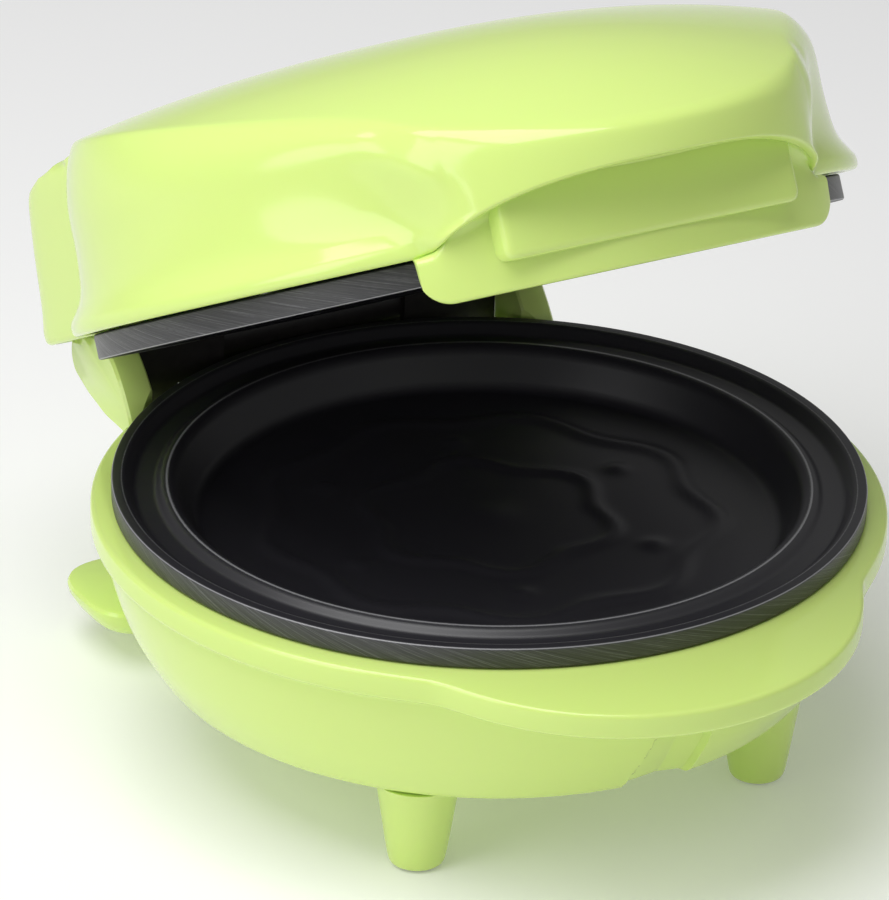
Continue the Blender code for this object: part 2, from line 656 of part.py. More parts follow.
def lid_section(psi):
    """Outer and inner (radius, z) points of the lid's wall at an angle, from the crease down and back up."""
    r0, z0 = crease(psi)
    swell = bulge(psi)
    front = 1 - smooth(SKIRT_ANGLE - math.radians(1), SKIRT_ANGLE + math.radians(1.5), abs(psi))
    eave = max(LID_BOTTOM + 1 * MM, EAVE_Z - EAVE_DROP * (abs(psi) / EAVE_END) ** 3)

    def side(radius, z, rear, inset, swell_share=0.0, power=OUTER_POWER):
        """A point of the round wall, or of the rear block's wall where that stands further out."""
        radius += swell * swell_share
        rear_y = mix(BLOCK_TOP_Y, BLOCK_Y, rear) - inset
        block = box_radius(psi, BLOCK_HALF - inset, rear_y, power)
        if block > radius:
            return block, min(z, chamfer_z(block * abs(math.cos(psi))) - 1.0 * MM)
        return radius, min(z, z0 - 1.0 * MM)

    bead = LID_BEAD_R
    outer_side = [side(82.8 * MM, z0 - 1.5 * MM, 0, 1.5 * MM, 1.0),
                  side(84.4 * MM, z0 - 5.5 * MM, 0, 0.8 * MM, 0.95),
                  side(85.2 * MM, mix(z0, 20 * MM, 0.6), 0.3, 0.4 * MM, 0.75),
                  side(85.6 * MM, 20 * MM, 0.6, 0.2 * MM, 0.5), side(86.4 * MM, 14 * MM, 0.8, 0.1 * MM, 0.25),
                  side(88.4 * MM, 11 * MM, 0.9, 0, 0.08), side(bead, 9.2 * MM, 1, 0),
                  side(bead - 0.2 * MM, 7.8 * MM, 1, 0), side(bead - 0.9 * MM, LID_BOTTOM, 1, 0.7 * MM)]
    outer_front = [(r0 + 0.9 * MM, z0 - 1.5 * MM), (r0 + 1.3 * MM, mix(z0, eave, 0.55)),
                   (r0 + 0.9 * MM, eave + 1.2 * MM), (r0 - 0.6 * MM, eave),
                   (min(94.6 * MM, r0 - 2 * MM), eave + 0.6 * MM), (SKIRT_R + 0.6 * MM, eave - 1.6 * MM),
                   (SKIRT_R + 0.2 * MM, 6.5 * MM), (SKIRT_R, 0.5 * MM), (SKIRT_R - 0.4 * MM, SKIRT_BOTTOM)]
    under = 0.0
    if math.cos(psi) < 0:
        under = -2.6 * MM
    inner_side = [side(bead - 3.2 * MM, LID_BOTTOM, 1, WALL, 0, INNER_POWER),
                  side(84.0 * MM, 13 * MM, 0.8, WALL, 0.2, INNER_POWER),
                  side(83.0 * MM, 20 * MM, 0.6, WALL, 0.45, INNER_POWER),
                  side(82.4 * MM, mix(z0, 20 * MM, 0.6), 0.3, WALL + 0.4 * MM, 0.7, INNER_POWER),
                  side(81.4 * MM, z0 - 6.8 * MM, 0, WALL + 1.2 * MM, 0.9, INNER_POWER)]
    inner_side = [(r, min(z, chamfer_z(r * abs(math.cos(psi))) + under)) for r, z in inner_side]
    inner_front = [(SKIRT_R - 2.6 * MM, SKIRT_BOTTOM), (SKIRT_R - 2.2 * MM, 6.5 * MM), (89.6 * MM, eave - 1.2 * MM),
                   (min(92.2 * MM, r0 - 3 * MM), eave + 3.0 * MM), (r0 - 2.2 * MM, mix(z0, eave + 3.4 * MM, 0.8))]
    outer = [(mix(s[0], f[0], front), mix(s[1], f[1], front)) for s, f in zip(outer_side, outer_front)]
    inner = [(mix(s[0], f[0], front), mix(s[1], f[1], front)) for s, f in zip(inner_side, inner_front)]
    return outer, inner


def dome(psi, share, inset):
    """A point of the crowned panel, or of its underside when inset is the wall's thickness."""
    radius = share * (crease(psi)[0] - 0.9 * inset)
    return radius, crown_z(psi, radius) - inset * (1.0 + 0.35 * share ** 3)


def lid_housing(lid):
    angles = shell_angles((28, 32.4, 33.6, 35.2, 37, 44,
                           132, 134.5, 136.6, 139, 142, 144.5, 147.4, 149, 150.6, 153.5))
    sections = [lid_section(psi) for psi in angles]
    rings = [[Vector((0, 0, LID_TOP))]]
    shares = (0.35, 0.65, 0.87, 1.0)
    rings += [[at(psi, *dome(psi, share, 0)) for psi in angles] for share in shares]
    rings += [[at(psi, *section[0][k]) for psi, section in zip(angles, sections)] for k in range(9)]
    rings += [[at(psi, *section[1][k]) for psi, section in zip(angles, sections)] for k in range(5)]
    rings += [[at(psi, *dome(psi, share, WALL)) for psi in angles] for share in (0.96, 0.6)]
    rings.append([Vector((0, 0, LID_TOP - WALL))])
    housing = add_object("lid_housing", loft(rings, closed=False), "lime", lid)

    knuckles = []
    profile = arc((HINGE_Y, HINGE_Z), KNUCKLE_R, -180, 0, 10)
    profile += [(y * MM, z * MM) for y, z in ((100.2, 13), (98.0, 25), (89, 25))]
    profile += [(HINGE_Y - KNUCKLE_R, 12 * MM)]
    for side in (-1, 1):
        knuckles.append(prism(profile, side * KNUCKLE_IN, side * (EAR_IN - 0.5 * MM), "X"))
    bosses = [cylinder(4.4 * MM, UPPER_RIM_H + 1.0 * MM, 20 * MM, 12, around(LEDGE_SCREW_RING, a))
              for a in POST_ANGLES]
    arms = [lug(a, LEDGE_SCREW_RING - 6 * MM, 98.4 * MM if a == POST_ANGLES[0] else 84.4 * MM, 17 * MM, 21 * MM)
            for a in POST_ANGLES]
    join(housing, merge(*knuckles), lid)
    join(housing, merge(*bosses), lid)
    join(housing, merge(*arms), lid)
    holes = [cylinder(HOLE_R, 0, 20 * MM, 12, around(LEDGE_SCREW_RING, a)) for a in POST_ANGLES]
    holes.append(axis_pin(PIN_R + GAP, -52 * MM, 52 * MM))
    cut(housing, merge(*holes), lid)


def ledge_screws(lid):
    """Countersunk screws through the upper plate's ledge into the lid's bosses."""
    for name, a in zip(("upper_plate_screw_1", "upper_plate_screw_2", "upper_plate_screw_3"), POST_ANGLES):
        low = 2.95 * MM
        bm = lathe([(0, low), (3.2 * MM, low), (3.2 * MM, 3.1 * MM), (SCREW_R, 4.5 * MM), (SCREW_R, 17 * MM),
                    (0, 17 * MM)], 12)
        bmesh.ops.translate(bm, vec=(*around(LEDGE_SCREW_RING, a), 0), verts=bm.verts)
        add_object(name, bm, "steel", lid)


def lid_lead(lid):
    """Upper half of the sleeved lead, from the hinge axis over the heat shield to the element."""
    route = [(0.4, 92, 2), (8, 92, 2), (12.5, 92.5, 6), (14, 91.5, 13), (15, 85, 22), (16, 74, 30), (16, 62, 33),
             (13, 52.5, 36.5)]
    tube("lid_lead", [tuple(v * MM for v in p) for p in route], LEAD_R, "sleeve", lid, 4, 1)


def build():
    clear_scene()
    base = bpy.data.objects.new("base_frame", None)
    base.location = (0, PLATE_Y, RIM_Z)
    lid = bpy.data.objects.new("lid_hinge", None)
    lid.location = (0, PLATE_Y + HINGE_Y, RIM_Z + HINGE_Z)
    lid.rotation_euler = (-LID_OPEN, 0, 0)
    for empty in (base, lid):
        bpy.context.scene.collection.objects.link(empty)

    base_housing(base)
    cord_bush(base)
    bottom_cover(base)
    foot_pads(base)
    rear_stand(base)
    baking_plate("lower_baking_plate", PLATE_RIM_H, 0.0, False, base)
    heating_element("lower_heating_element", False, base)
    element_clamp("lower_element_clamp", False, base)
    pan_screw("lower_clamp_screw", (0, 0), -CLAMP_TOP - CLAMP_T - GAP, 5.6 * MM, -1, base)
    heat_shield("lower_heat_shield", False, base)
    for number, a in enumerate(POST_ANGLES, 1):
        seat = -LUG_TOP - LUG_T - GAP
        pan_screw(f"lower_plate_screw_{number}", around(POST_RING, a), seat, 12 * MM, -1, base)
    for number, a in enumerate(COVER_SCREW_ANGLES, 1):
        pan_screw(f"cover_screw_{number}", around(COVER_LUG_RING, a), COVER_UNDER - GAP, 8 * MM, -1, base)
    thermostat(base)
    thermal_fuse(base)
    terminal_block(base)
    base_lead(base)
    hinge_pins(base)
    hinge_guard(base)

    lid_housing(lid)
    baking_plate("upper_baking_plate", UPPER_RIM_H, RIM_GAP, True, lid)
    heating_element("upper_heating_element", True, lid)
    element_clamp("upper_element_clamp", True, lid)
    pan_screw("upper_clamp_screw", (0, 0), CLAMP_TOP + CLAMP_T + GAP, 5.6 * MM, 1, lid)
    heat_shield("upper_heat_shield", True, lid)
    for number, a in enumerate(POST_ANGLES, 1):
        pan_screw(f"shield_screw_{number}", around(POST_RING, a), SHIELD_TOP + SHIELD_T + GAP, 9 * MM, 1, lid)
    ledge_screws(lid)
    lid_lead(lid)


build()
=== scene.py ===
"""Looks of the mini cake maker: fine shells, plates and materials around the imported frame.

Sizes are in millimetres in the lower plate's own coordinates (z = 0 where the two plates meet, front at -Y)
unless a name says otherwise.  The lid is modelled shut and then turned about the hinge to its rest angle.
"""
import json
import math

import bmesh
import bpy
from mathutils import Matrix, Vector


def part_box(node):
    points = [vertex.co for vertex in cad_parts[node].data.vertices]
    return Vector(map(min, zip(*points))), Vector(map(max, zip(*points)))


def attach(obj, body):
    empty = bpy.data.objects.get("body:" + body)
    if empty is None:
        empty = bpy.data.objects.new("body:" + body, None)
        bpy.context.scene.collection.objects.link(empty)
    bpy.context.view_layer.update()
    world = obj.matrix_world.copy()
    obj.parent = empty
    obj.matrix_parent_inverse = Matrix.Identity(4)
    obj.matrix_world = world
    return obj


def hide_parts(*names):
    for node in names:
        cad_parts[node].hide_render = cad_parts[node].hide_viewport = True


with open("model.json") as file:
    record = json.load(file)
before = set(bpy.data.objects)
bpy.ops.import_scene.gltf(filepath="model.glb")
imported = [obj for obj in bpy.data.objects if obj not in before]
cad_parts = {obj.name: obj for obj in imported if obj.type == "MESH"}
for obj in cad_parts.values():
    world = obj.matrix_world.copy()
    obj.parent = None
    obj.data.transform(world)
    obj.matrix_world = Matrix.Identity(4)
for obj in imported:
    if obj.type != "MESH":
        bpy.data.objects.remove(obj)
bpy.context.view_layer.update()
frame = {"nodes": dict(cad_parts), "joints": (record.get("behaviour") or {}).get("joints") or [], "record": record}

MM = 0.001
PLATE_LO, PLATE_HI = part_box("lower_baking_plate")
PIN_LO, PIN_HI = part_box("hinge_pin_left")
CENTRE = Vector(((PLATE_LO.x + PLATE_HI.x) / 2, (PLATE_LO.y + PLATE_HI.y) / 2, PLATE_HI.z))
HINGE = Vector((0, (PIN_LO.y + PIN_HI.y) / 2, (PIN_LO.z + PIN_HI.z) / 2))
OPEN = math.radians(-frame["joints"][0]["range_deg"][0])
BASE_PLACE = Matrix.Translation(CENTRE) @ Matrix.Scale(MM, 4)
LID_PLACE = (Matrix.Translation(HINGE) @ Matrix.Rotation(-OPEN, 4, "X") @ Matrix.Translation(CENTRE - HINGE)
             @ Matrix.Scale(MM, 4))
PLACES = {"base": BASE_PLACE, "lid": LID_PLACE}


# ---- sizes --------------------------------------------------------------------------------------
WALL = 2.4
FLANGE_R, FLANGE_TOP = 89.7, -5.2
LIP_REACH, LIP_ANGLE = 17.9, 36.0
BASE_BOTTOM, BASE_BOTTOM_R = -42.5, 74.5
HINGE_Y, HINGE_Z = 92.0, 2.0

LID_TOP, CREASE_R, NOSE = 56.0, 80.5, 25.0
NOSE_ANGLE, NOSE_END, NOSE_FADE, RIDGE_ANGLE = 43.7, 12.6, 9.5, 31.0
CREASE_REAR_Z, CREASE_DROP, CREASE_SPREAD = 49.5, 23.5, 56.0
LID_REAR_Y, LID_BOTTOM = 66.0, 6.6
SKIRT_R, SKIRT_BOTTOM, SKIRT_END, SKIRT_CORNER = 91.5, -4.2, 34.0, 7.5
BLOCK_HALF, BLOCK_Y, BLOCK_TOP_Y, BLOCK_TOP_Z = 63.5, 102.6, 95.0, 41.1
EAR_IN, EAR_OUT, KNUCKLE_IN, KNUCKLE_OUT = 48.8, 56.4, 38.0, 48.3
EAR_R, KNUCKLE_R, PIN_HOLE_R, PIN_SKIN = 7.6, 7.0, 2.8, 1.5
GUARD_R, GUARD_INNER_R, GUARD_START, GUARD_END, GUARD_HALF, GUARD_WING_Z = 6.7, 5.3, 120, 228, 37.0, 6.5

POST_ANGLES, SCREW_RING = (90, 210, 330), 78.4      # the plate's posts and the screws through its ledge
COVER_ANGLES, COVER_RING = (30, 150, 270), 62.5
FEET = [(sx * 43.9, sy * 48.0) for sy in (-1, 1) for sx in (-1, 1)]


# ---- small helpers ------------------------------------------------------------------------------
def clamp(value, low=0.0, high=1.0):
    return min(high, max(low, value))


def mix(a, b, t):
    return a + (b - a) * t


def smooth(edge0, edge1, value):
    t = clamp((value - edge0) / (edge1 - edge0))
    return t * t * (3 - 2 * t)


def at(psi, radius, z):
    """Point at an angle in degrees from the front."""
    a = math.radians(psi)
    return Vector((radius * math.sin(a), -radius * math.cos(a), z))


def fillet(corners, steps=4, closed=False):
    """Rounds a polyline of (u, v, setback) corners; every corner gives steps + 1 points."""
    count = len(corners)
    points = []
    for i, (u, v, setback) in enumerate(corners):
        here = Vector((u, v))
        if not closed and i in (0, count - 1):
            points.append(here)
            continue
        before = Vector(corners[i - 1][:2])
        after = Vector(corners[(i + 1) % count][:2])
        back = before - here
        on = after - here
        start = here + back * min(0.5, setback / max(back.length, 1e-6))
        end = here + on * min(0.5, setback / max(on.length, 1e-6))
        for k in range(steps + 1):
            t = k / steps
            points.append(start * (1 - t) ** 2 + here * 2 * t * (1 - t) + end * t * t)
    return points


def rounded(half_u, half_v, radius, centre=(0, 0), steps=6):
    corners = [(centre[0] + su * half_u, centre[1] + sv * half_v, radius)
               for su, sv in ((1, 1), (-1, 1), (-1, -1), (1, -1))]
    return fillet(corners, steps, closed=True)


def skin(bm, rings, closed=False):
    """Faces between rings of points; a ring of one point is a pole."""
    verts = [[bm.verts.new(p) for p in ring] for ring in rings]
    pairs = list(zip(verts, verts[1:]))
    if closed:
        pairs.append((verts[-1], verts[0]))
    for low, high in pairs:
        count = max(len(low), len(high))
        for i in range(count):
            j = (i + 1) % count
            if len(low) == 1:
                bm.faces.new((low[0], high[i], high[j]))
            elif len(high) == 1:
                bm.faces.new((low[i], low[j], high[0]))
            else:
                bm.faces.new((low[i], low[j], high[j], high[i]))
    return verts


def capped(bm, rings):
    """Skins closed rings and covers the first and the last of them with one face each."""
    verts = skin(bm, rings)
    bm.faces.new(verts[0])
    bm.faces.new(verts[-1])


def piece(name, bm, body, finish, replaces=(), sharp=38, marks=None):
    """Turns a mesh in plate millimetres into a visible piece on a body."""
    bmesh.ops.recalc_face_normals(bm, faces=bm.faces)
    mesh = bpy.data.meshes.new(name)
    bm.to_mesh(mesh)
    bm.free()
    local = mesh.attributes.new("local", "FLOAT_VECTOR", "POINT")
    machining_and_highlight = mesh.attributes.new("machining_and_highlight", "FLOAT", "POINT")
    streak = mesh.attributes.new("streak", "FLOAT_VECTOR", "POINT")
    for i, vert in enumerate(mesh.vertices):
        x, y, z = vert.co
        local.data[i].vector = vert.co
        # mask: machined band and painted highlight lines on the plates, 0 where no mask function is given
        machining_and_highlight.data[i].value = marks(vert.co) if marks else 0.0
        twist = 0.035 * z
        streak.data[i].vector = (x * math.cos(twist) - y * math.sin(twist),
                                 x * math.sin(twist) + y * math.cos(twist), 0.06 * z)
    mesh.transform(PLACES[body])
    mesh.materials.append(finish)
    mesh.shade_smooth()
    mesh.set_sharp_from_angle(angle=math.radians(sharp))
    obj = bpy.data.objects.new(name, mesh)
    bpy.context.scene.collection.objects.link(obj)
    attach(obj, body)
    if replaces:
        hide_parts(*replaces)
    return obj


def lathe(bm, profile, segments=160, centre=(0.0, 0.0)):
    """Turns (radius, z) points about Z; a radius of zero is a pole."""
    rings = []
    for radius, z in profile:
        if radius < 1e-6:
            rings.append([Vector((centre[0], centre[1], z))])
        else:
            turn = [2 * math.pi * i / segments for i in range(segments)]
            rings.append([Vector((centre[0] + radius * math.cos(a), centre[1] + radius * math.sin(a), z))
                          for a in turn])
    skin(bm, rings)


def around(radius, degrees):
    a = math.radians(degrees)
    return (radius * math.cos(a), radius * math.sin(a))


def boolean(target, tool_bm, operation):
    """Returns the target joined with or cut by a tool; both meshes are used up."""
    mesh = bpy.data.meshes.new("tool")
    bmesh.ops.recalc_face_normals(tool_bm, faces=tool_bm.faces)
    tool_bm.to_mesh(mesh)
    tool_bm.free()
    body_mesh = bpy.data.meshes.new("body")
    bmesh.ops.recalc_face_normals(target, faces=target.faces)
    target.to_mesh(body_mesh)
    target.free()
    objs = [bpy.data.objects.new("tool", mesh), bpy.data.objects.new("body", body_mesh)]
    for obj in objs:
        bpy.context.scene.collection.objects.link(obj)
    step = objs[1].modifiers.new("cut", "BOOLEAN")
    step.operation = operation
    step.solver = "EXACT"
    step.object = objs[0]
    bpy.context.view_layer.update()
    result = bmesh.new()
    result.from_object(objs[1], bpy.context.evaluated_depsgraph_get())
    for obj in objs:
        bpy.data.objects.remove(obj)
    bpy.data.meshes.remove(mesh)
    bpy.data.meshes.remove(body_mesh)
    return result


# ---- materials ----------------------------------------------------------------------------------
class Finish:
    """A Principled material with a few wiring shortcuts."""

    def __init__(self, name):
        self.material = bpy.data.materials.new(name)
        self.material.use_nodes = True
        self.tree = self.material.node_tree
        self.shader = self.tree.nodes["Principled BSDF"]

    def add(self, kind, links=None, **settings):
        node = self.tree.nodes.new(kind)
        for key, value in settings.items():
            setattr(node, key, value)
        for socket, value in (links or {}).items():
            self.put(node.inputs[socket], value)
        return node

    def put(self, socket, value):
        if isinstance(value, bpy.types.NodeSocket):
            self.tree.links.new(value, socket)
        else:
            socket.default_value = value

    def set(self, **values):
        for name, value in values.items():
            self.put(self.shader.inputs[name.replace("_", " ")], value)

    def attribute(self, name, output):
        return self.add("ShaderNodeAttribute", attribute_name=name).outputs[output]

    def noise(self, vector, scale, detail=3.0, roughness=0.5):
        return self.add("ShaderNodeTexNoise", {"Vector": vector, "Scale": scale, "Detail": detail,
                                               "Roughness": roughness}).outputs["Fac"]

    def ramp(self, value, stops):
        node = self.add("ShaderNodeValToRGB", {"Fac": value})
        while len(node.color_ramp.elements) < len(stops):
            node.color_ramp.elements.new(0.5)
        for element, (place, colour) in zip(node.color_ramp.elements, stops):
            element.position = place
            element.color = (*colour, 1.0) if isinstance(colour, tuple) else (colour, colour, colour, 1.0)
        return node.outputs["Color"]

    def span(self, value, low, high):
        node = self.add("ShaderNodeMapRange", {"Value": value, "To Min": low, "To Max": high})
        return node.outputs["Result"]

    def maths(self, operation, a, b=0.0):
        return self.add("ShaderNodeMath", {0: a, 1: b}, operation=operation).outputs["Value"]

    def blend(self, factor, a, b):
        node = self.add("ShaderNodeMix", data_type="RGBA")
        self.put(node.inputs["Factor"], factor)
        self.put(node.inputs[6], a)
        self.put(node.inputs[7], b)
        return node.outputs[2]

    def bump(self, height, distance, strength=1.0, normal=None):
        links = {"Height": height, "Distance": distance, "Strength": strength}
        if normal is not None:
            links["Normal"] = normal
        return self.add("ShaderNodeBump", links).outputs["Normal"]


def rgb(r, g, b):
    return (r, g, b, 1.0)


def lime_plastic():
    """High-gloss moulded plastic: faint flow marks, orange peel and fine handling scratches."""
    f = Finish("lime_gloss_plastic")
    place = f.attribute("local", "Vector")
    flow = f.noise(place, 0.035, 2.0)
    haze = f.noise(place, 0.9, 4.0, 0.6)
    peel = f.noise(place, 0.22, 2.0)
    grain = f.noise(place, 6.0, 2.0)
    colour = f.blend(flow, rgb(0.685, 0.880, 0.235), rgb(0.720, 0.910, 0.270))
    colour = f.blend(f.span(haze, 0.0, 0.10), colour, rgb(0.60, 0.83, 0.20))
    # lighter lime where the mask attribute is set, a painted highlight; no lime piece sets that mask, so it stays
    # at zero
    colour = f.blend(f.attribute("machining_and_highlight", "Fac"), colour, rgb(0.76, 0.94, 0.40))
    rough = f.maths("ADD", f.span(haze, 0.10, 0.17), f.span(grain, -0.012, 0.012))
    normal = f.bump(peel, 0.00035, 0.10)
    normal = f.bump(grain, 0.00002, 0.12, normal)
    f.set(Base_Color=colour, Roughness=rough, Normal=normal, IOR=1.49, Subsurface_Weight=0.12,
          Subsurface_Scale=0.004, Coat_Weight=0.12, Coat_Roughness=0.05)
    f.shader.inputs["Subsurface Radius"].default_value = (0.7, 1.0, 0.3)
    return f.material


def plate_coating():
    """Speckled charcoal non-stick coating with machined rim sides and painted highlights along the rim and ridge
    edges.
    """
    f = Finish("nonstick_coating")
    place = f.attribute("local", "Vector")
    streaks = f.noise(f.attribute("streak", "Vector"), 1.5, 3.0, 0.65)
    fine = f.noise(place, 2.6, 3.0, 0.6)
    spots = f.add("ShaderNodeTexVoronoi", {"Vector": place, "Scale": 1.15}).outputs["Distance"]
    cloud = f.noise(place, 0.06, 3.0)
    colour = f.ramp(fine, [(0.30, (0.008, 0.008, 0.010)), (0.55, (0.026, 0.025, 0.030)),
                           (0.78, (0.075, 0.073, 0.082))])
    colour = f.blend(f.span(cloud, 0.0, 0.5), colour, rgb(0.012, 0.011, 0.017))
    speck = f.ramp(spots, [(0.0, 1.0), (0.09, 1.0), (0.13, 0.0)])
    colour = f.blend(f.maths("MULTIPLY", speck, 0.30), colour, rgb(0.22, 0.22, 0.24))
    # mask attribute: about 0.5 on the rim's outer side for machined streaks, higher on the thin edge lines that
    # get a painted highlight
    machining_and_highlight = f.attribute("machining_and_highlight", "Fac")
    machined = f.ramp(streaks, [(0.36, (0.018, 0.018, 0.020)), (0.56, (0.045, 0.045, 0.048)),
                                (0.80, (0.20, 0.20, 0.21))])
    side = f.ramp(machining_and_highlight, [(0.0, 0.0), (0.35, 0.0), (0.45, 1.0)])
    # edge: the thin rim and ridge edge lines, where a painted highlight goes
    edge = f.ramp(machining_and_highlight, [(0.0, 0.0), (0.62, 0.0), (0.95, 1.0)])
    colour = f.blend(side, colour, machined)
    # painted highlight: light grey painted along the rim and ridge edges, standing in for their reflections
    painted_highlight = f.maths("MULTIPLY", edge, f.span(fine, 0.25, 1.1))
    colour = f.blend(painted_highlight, colour, rgb(0.42, 0.42, 0.44))
    rough = f.maths("ADD", f.span(fine, 0.30, 0.52), f.maths("MULTIPLY", edge, -0.10))
    normal = f.bump(fine, 0.00006, 0.55)
    normal = f.bump(f.maths("MULTIPLY", streaks, side), 0.00010, 0.6, normal)
    f.set(Base_Color=colour, Roughness=rough, Normal=normal, IOR=1.55, Metallic=0.0)
    f.shader.inputs["Specular IOR Level"].default_value = 0.6
    return f.material


def metal(name, dark, light, rough_low, rough_high, scale, stretch, metallic=1.0):
    """Metal with drawn or brushed lines in the object's own space."""
    f = Finish(name)
    place = f.add("ShaderNodeTexCoord").outputs["Object"]
    lines = f.add("ShaderNodeMapping", {"Vector": place, "Scale": stretch}).outputs["Vector"]
    brushed = f.noise(lines, scale, 4.0, 0.6)
    blot = f.noise(place, 60.0, 3.0)
    colour = f.blend(brushed, rgb(*dark), rgb(*light))
    colour = f.blend(f.span(blot, 0.0, 0.35), colour, rgb(*dark))
    f.set(Base_Color=colour, Roughness=f.span(brushed, rough_low, rough_high), Metallic=metallic,
          Normal=f.bump(brushed, 0.00003, 0.5))
    return f.material


def soft(name, dark, light, rough_low, rough_high, scale, depth, weave=None):
    """Dull moulded or woven material in the object's own space."""
    f = Finish(name)
    place = f.add("ShaderNodeTexCoord").outputs["Object"]
    grain = f.noise(place, scale, 4.0, 0.6)
    height = grain
    if weave:
        wave = f.add("ShaderNodeTexWave", {"Vector": place, "Scale": weave, "Distortion": 1.5, "Detail": 2.0},
                     bands_direction="DIAGONAL").outputs["Fac"]
        height = f.maths("MULTIPLY", f.span(grain, 0.7, 1.0), wave)
    colour = f.blend(height, rgb(*dark), rgb(*light))
    f.set(Base_Color=colour, Roughness=f.span(grain, rough_low, rough_high),
          Normal=f.bump(height, depth, 0.7))
    return f.material


LIME = lime_plastic()
COATING = plate_coating()
STEEL = metal("zinc_plated_steel", (0.40, 0.41, 0.42), (0.62, 0.63, 0.64), 0.22, 0.42, 900.0, (1.0, 1.0, 6.0))
ALUMINIUM = metal("pressed_aluminium", (0.58, 0.59, 0.60), (0.78, 0.79, 0.80), 0.28, 0.45, 300.0,
                  (1.0, 14.0, 1.0))
SHEATH = metal("heat_darkened_sheath", (0.05, 0.045, 0.05), (0.20, 0.17, 0.14), 0.35, 0.6, 120.0,
               (1.0, 1.0, 1.0), 0.85)
RUBBER = soft("black_rubber", (0.012, 0.012, 0.013), (0.035, 0.035, 0.037), 0.62, 0.85, 900.0, 0.00008)
CERAMIC = soft("cream_ceramic", (0.66, 0.63, 0.55), (0.86, 0.84, 0.77), 0.35, 0.6, 500.0, 0.00005)
BAKELITE = soft("black_resin", (0.010, 0.009, 0.009), (0.032, 0.028, 0.027), 0.28, 0.5, 420.0, 0.00004)
SLEEVE = soft("glass_fibre_sleeve", (0.42, 0.41, 0.37), (0.84, 0.83, 0.78), 0.6, 0.85, 700.0, 0.00025, 900.0)


# ---- base shell ---------------------------------------------------------------------------------
def lip(psi):
    inside = 1 - (psi / LIP_ANGLE) ** 2
    return 0.5 * (inside + math.sqrt(inside * inside + 0.02))


def base_angles():
    fine = [i * 1.0 for i in range(-180, 180)]
    fine += [s * (27.0 + 0.25 * i) for i in range(50) for s in (-1, 1)]
    fine += [-12 + 0.25 * i for i in range(97)]
    return sorted(set(round(a, 3) for a in fine))


def notch(psi, z):
    """Depth of the small moulded recess low in the front wall: slanted left side, V-shaped right side."""
    x = math.sin(math.radians(psi)) * 82.0
    if math.cos(math.radians(psi)) < 0 or z > -19.0:
        return 0.0
    left = -3.5 - 0.26 * (-z - 24.0)
    rise = smooth(left - 0.5, left + 0.3, x) * (1 - smooth(9.4, 10.0, x))
    if x > 3.0:
        dent = mix(3.4, 1.6, clamp((x - 3.0) / 7.0))
    else:
        dent = mix(1.9, 3.4, clamp((x - left) / (3.0 - left)))
    return dent * rise * smooth(19.5, 23.5, -z)


def base_profile(psi):
    reach = lip(psi)
    edge = FLANGE_R + LIP_REACH * reach
    top = FLANGE_TOP
    sag = 1.6 * reach
    low = top - 6.4 - sag
    outer = [(85.6, top, 0.3), (87.4, top - 0.1 - 0.1 * sag, 1.0), (edge, top - 0.5 - sag, 1.1),
             (edge + 0.1, low, 1.5), (87.3 + 0.25 * (edge - 89.7), low - 0.7, 2.2), (87.0, low - 3.4, 2.5),
             (85.6, -21.0, 6.0), (82.2, -31.5, 6.0), (BASE_BOTTOM_R + 1.2, BASE_BOTTOM + 1.0, 2.2),
             (BASE_BOTTOM_R - 0.5, BASE_BOTTOM, 0.4), (BASE_BOTTOM_R - WALL, BASE_BOTTOM, 0.3),
             (78.6, -32.0, 4.0), (83.0, -21.0, 4.0), (84.4, top - WALL, 0.6), (82.0, top - WALL, 0.3),
             (82.0, top, 0.3)]
    return fillet(outer, 4, closed=True)


def base_shell():
    angles = base_angles()
    rings = []
    profiles = [base_profile(psi) for psi in angles]
    for k in range(len(profiles[0])):
        ring = []
        for psi, profile in zip(angles, profiles):
            r, z = profile[k]
            r -= notch(psi, z)
            ring.append(at(psi, r, z))
        rings.append(ring)
    bm = bmesh.new()
    skin(bm, rings, closed=True)
    return bm


def ear(side):
    """Hinge ear: a thick rounded bracket with a scooped front face and softened edges."""
    rim = [(HINGE_Y + EAR_R * math.cos(math.radians(a)), HINGE_Z + EAR_R * math.sin(math.radians(a)), 1.0)
           for a in range(-50, 95, 12)]
    rim += [(84.5, 11.2, 2.0), (79.5, 10.2, 3.0), (74.8, 6.6, 3.0), (70.6, 1.6, 3.0), (67.0, -4.0, 2.0),
            (66.0, -8.4, 0.5), (80.0, -8.4, 1.0), (90.5, -6.6, 2.0)]
    outline = fillet(rim, 2, closed=True)
    middle = Vector((sum(p.x for p in outline) / len(outline), sum(p.y for p in outline) / len(outline)))
    bm = bmesh.new()
    rings = []
    for x, inset in ((EAR_IN, 1.4), (EAR_IN + 0.5, 0.5), (EAR_IN + 1.4, 0.0), (EAR_OUT - 1.6, 0.0),
                     (EAR_OUT - 0.6, 0.5), (EAR_OUT, 1.6)):
        ring = []
        for p in outline:
            q = p + (middle - p).normalized() * inset
            scoop = 0.9 * smooth(84.0, 76.0, p.x) * math.sin(math.pi * clamp((x - EAR_IN) / (EAR_OUT - EAR_IN)))
            ring.append(Vector((side * x, q.x + scoop, q.y)))
        rings.append(ring)
    capped(bm, rings)
    return bm


